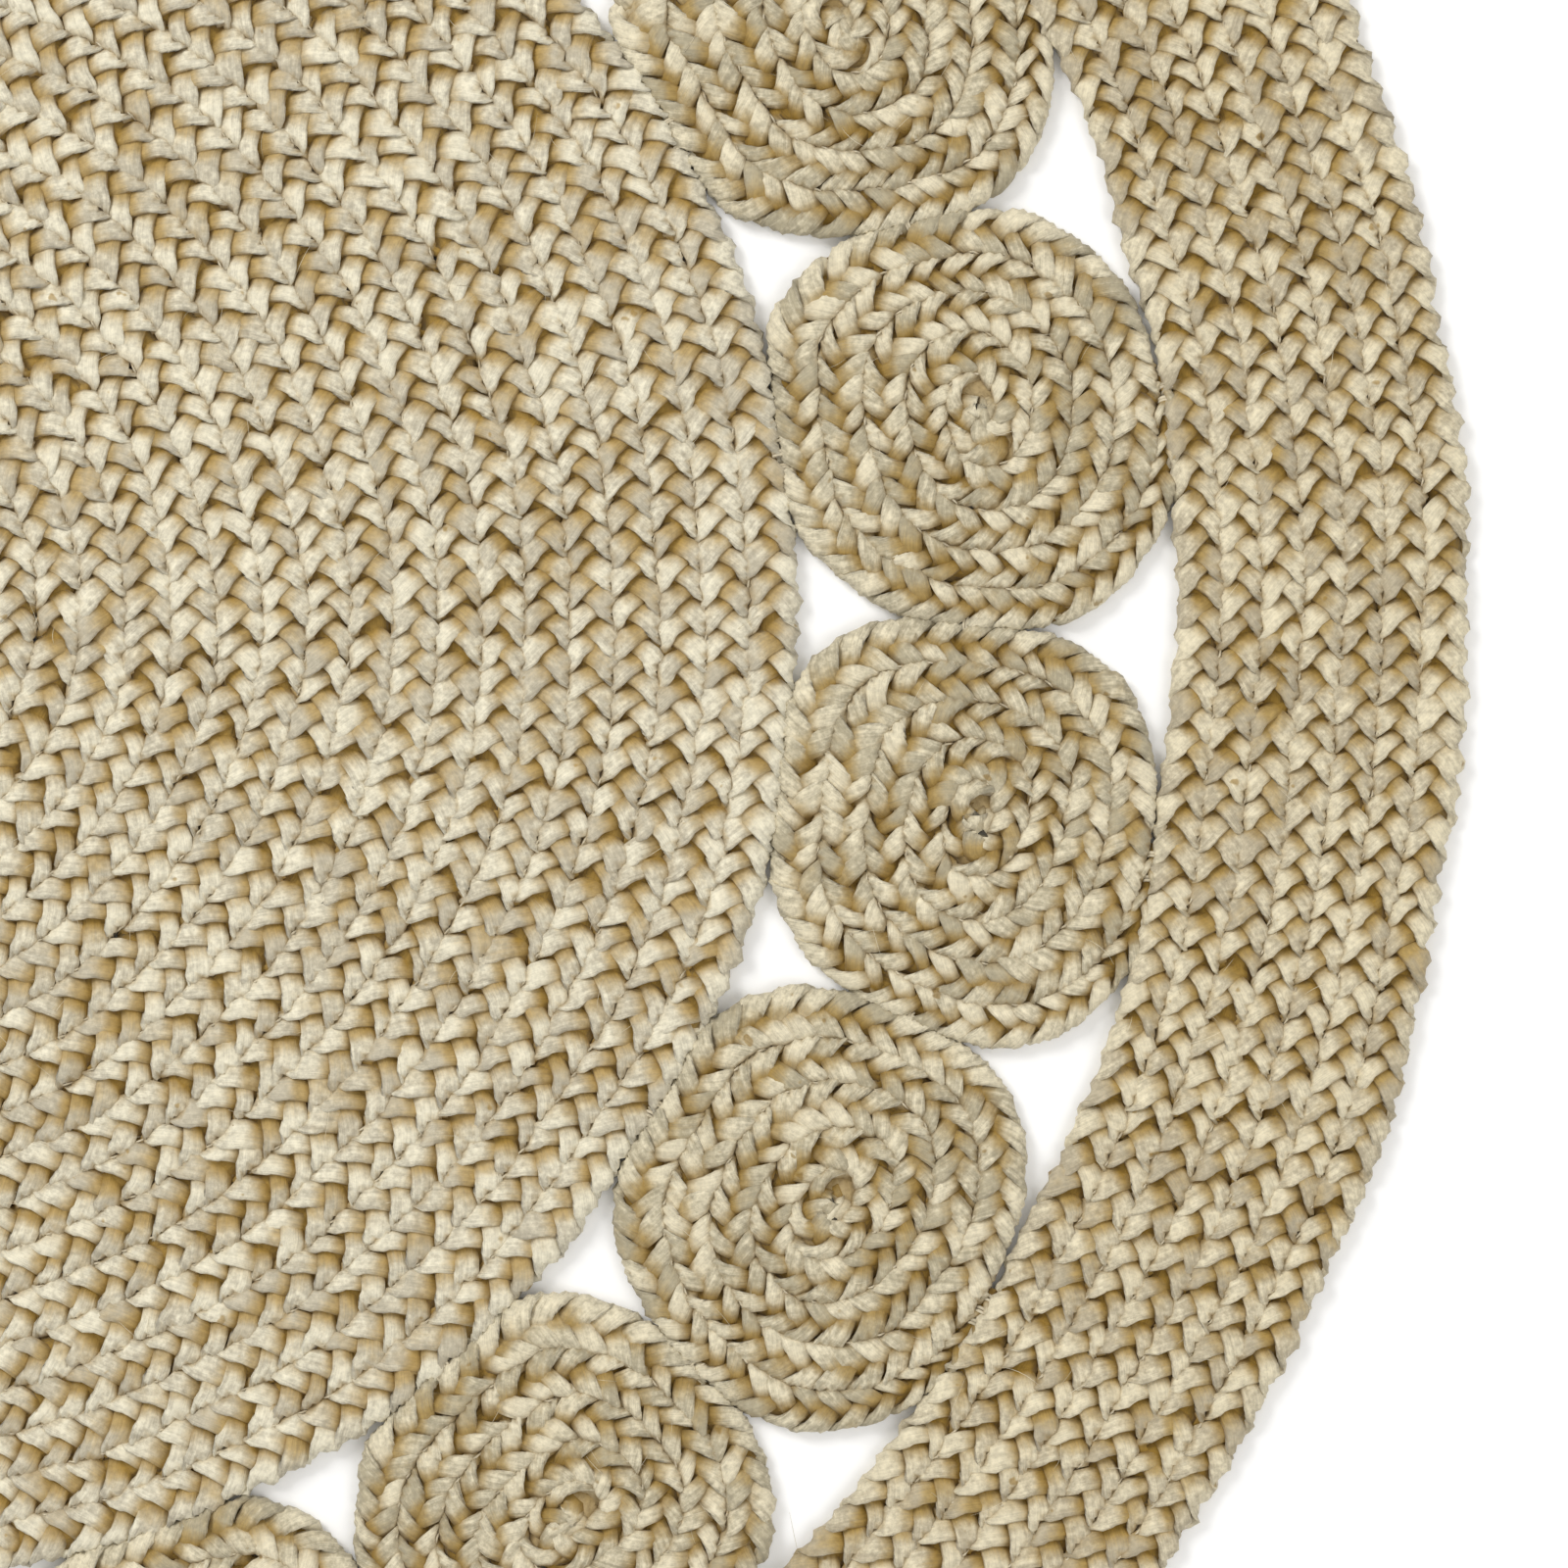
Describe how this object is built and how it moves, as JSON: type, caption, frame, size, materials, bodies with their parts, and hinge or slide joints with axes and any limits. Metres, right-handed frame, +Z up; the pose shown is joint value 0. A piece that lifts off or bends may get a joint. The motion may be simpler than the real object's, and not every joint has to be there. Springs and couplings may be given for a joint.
{
  "type": "area rug",
  "caption": "Round plaited jute area rug: a coiled centre, a ring of small coiled rosettes and a wide coiled outer band.",
  "frame": {"origin": "middle of the flat underside, where the rug rests on the floor", "axes": "+Z up out of the rug's upper face; X and Y in the plane of the rug"},
  "size_m": [1.499, 1.5, 0.01],
  "materials": {
    "jute_centre": "dry matt plaited jute, pale straw with grey and golden strands",
    "jute_band": "dry matt plaited jute, slightly more golden than the centre",
    "jute_rosette": "dry matt plaited jute, fine strands with visible fibres",
    "seam_twine": "thin matt jute twine, undyed",
    "stitch_twine": "thin matt jute twine, undyed"
  },
  "bodies": {
    "root": {"centre_plait": "jute_centre", "band_plait": "jute_band", "rosette_01": "jute_rosette", "rosette_02": "jute_rosette", "rosette_03": "jute_rosette", "rosette_04": "jute_rosette", "rosette_05": "jute_rosette", "rosette_06": "jute_rosette", "rosette_07": "jute_rosette", "rosette_08": "jute_rosette", "rosette_09": "jute_rosette", "rosette_10": "jute_rosette", "rosette_11": "jute_rosette", "rosette_12": "jute_rosette", "rosette_13": "jute_rosette", "rosette_14": "jute_rosette", "rosette_15": "jute_rosette", "rosette_16": "jute_rosette", "rosette_17": "jute_rosette", "rosette_18": "jute_rosette", "centre_seam_thread": "seam_twine", "band_seam_thread": "seam_twine", "rosette_seam_threads": "seam_twine", "rosette_to_centre_stitches": "stitch_twine", "rosette_to_band_stitches": "stitch_twine", "rosette_to_rosette_stitches": "stitch_twine"}
  },
  "joints": []
}
